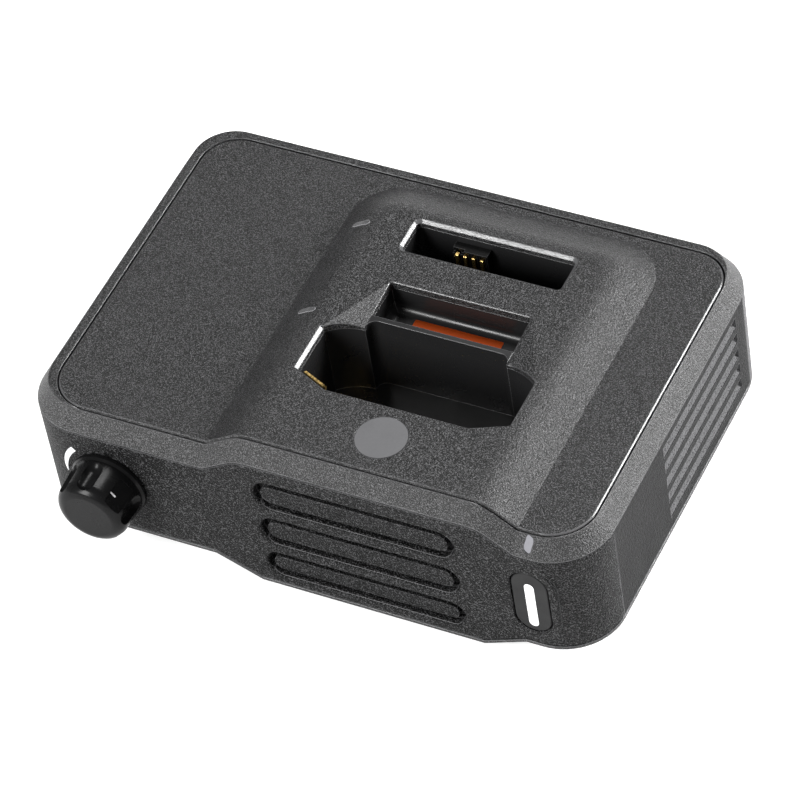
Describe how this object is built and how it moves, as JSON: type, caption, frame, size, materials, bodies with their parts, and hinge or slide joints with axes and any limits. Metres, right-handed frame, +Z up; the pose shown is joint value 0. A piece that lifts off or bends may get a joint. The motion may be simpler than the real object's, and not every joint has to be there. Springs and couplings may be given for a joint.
{
  "type": "desktop radio charging dock",
  "caption": "Low desktop dock for a portable radio, with a stepped radio well, a battery slot, slotted speaker front, volume knob and lit button.",
  "frame": {"origin": "middle of the whole box, knob included, on the surface the feet stand on", "axes": "+X to the right seen from the front, +Y to the rear, +Z up"},
  "size_m": [0.19, 0.1464, 0.062],
  "materials": {
    "housing": "fine spark-eroded texture",
    "deck": "fine spark-eroded texture",
    "base": "fine texture",
    "badge": "plain satin disc",
    "marking": "white print",
    "smoked_lens": "frosted light pipe",
    "dark_lens": "smoked light pipe",
    "label": "blank silver label",
    "pocket": "polished",
    "contact_block": "semi-gloss",
    "contact": "gold plate",
    "caution_strip": "orange label",
    "grille": "fine spark-eroded texture",
    "cloth": "acoustic mesh",
    "gasket": "foam",
    "pressed_steel": "zinc plated",
    "cone": "paper cone",
    "copper": "enamelled winding",
    "magnet": "ferrite and plate",
    "shaft": "turned",
    "knob": "semi-gloss",
    "button": "satin",
    "light_bar": "white diffuser",
    "switch": "moulded",
    "board": "solder mask",
    "capacitor": "sleeved can",
    "ferrite": "ferrite core",
    "heat_sink": "extruded",
    "led": "clear",
    "connector": "moulded",
    "screw": "black zinc",
    "foot": "soft rubber"
  },
  "bodies": {
    "case": {"front_fascia": "housing", "rear_housing": "housing", "upper_housing": "housing", "top_panel": "deck", "base_cover": "base", "badge_disc": "badge", "volume_mark": "marking", "status_lens": "smoked_lens", "radio_charge_lens": "dark_lens", "battery_charge_lens": "dark_lens", "rating_label": "label", "radio_pocket": "pocket", "battery_pocket": "pocket", "battery_contact_block": "contact_block", "radio_contact_block": "contact_block", "radio_side_contact": "contact", "trough_label": "caution_strip", "grille_insert": "grille", "acoustic_cloth": "cloth", "speaker_gasket": "gasket", "speaker_surround": "gasket", "speaker_frame": "pressed_steel", "speaker_cone": "cone", "speaker_voice_coil": "copper", "speaker_magnet": "magnet", "volume_potentiometer": "pressed_steel", "volume_washer": "pressed_steel", "volume_nut": "pressed_steel", "power_switch": "switch", "button_board": "board", "main_board": "board", "charger_shield": "pressed_steel", "smoothing_capacitors": "capacitor", "choke": "ferrite", "heat_sink": "heat_sink", "indicator_leds": "led", "dc_inlet": "connector", "dc_inlet_pin": "contact", "accessory_socket": "connector", "accessory_contacts": "contact", "case_screws": "screw", "wall_screws": "screw", "board_screws": "screw", "speaker_screws": "screw", "button_board_screws": "screw", "foot_front_left": "foot", "foot_front_right": "foot", "foot_rear_left": "foot", "foot_rear_right": "foot"},
    "volume_knob_body": {"volume_knob": "knob", "knob_pointer": "marking", "volume_shaft": "shaft"},
    "power_button_body": {"power_button": "button", "power_button_light": "light_bar", "switch_plunger": "switch"},
    "battery_leaves_body": {"battery_contact_leaves": "contact"},
    "radio_pins_body": {"radio_contact_pins": "contact"}
  },
  "joints": [
    {"name": "volume_turn", "type": "hinge", "parent": "case", "child": "volume_knob_body", "pos_m": [-0.0659, -0.06565, 0.0283], "axis": [0, -1, 0], "range_deg": [-85, 185]},
    {"name": "button_press", "type": "slide", "parent": "case", "child": "power_button_body", "axis": [0, 1, 0], "range_m": [0, 0.001], "stiffness_N_per_m": 900, "springref_m": -0.0006},
    {"name": "battery_leaf_press", "type": "slide", "parent": "case", "child": "battery_leaves_body", "axis": [0, 1, 0], "range_m": [0, 0.0008], "stiffness_N_per_m": 700, "springref_m": -0.0004},
    {"name": "radio_pin_press", "type": "slide", "parent": "case", "child": "radio_pins_body", "axis": [0, 0, -1], "range_m": [0, 0.0014], "stiffness_N_per_m": 600, "springref_m": -0.0005}
  ]
}
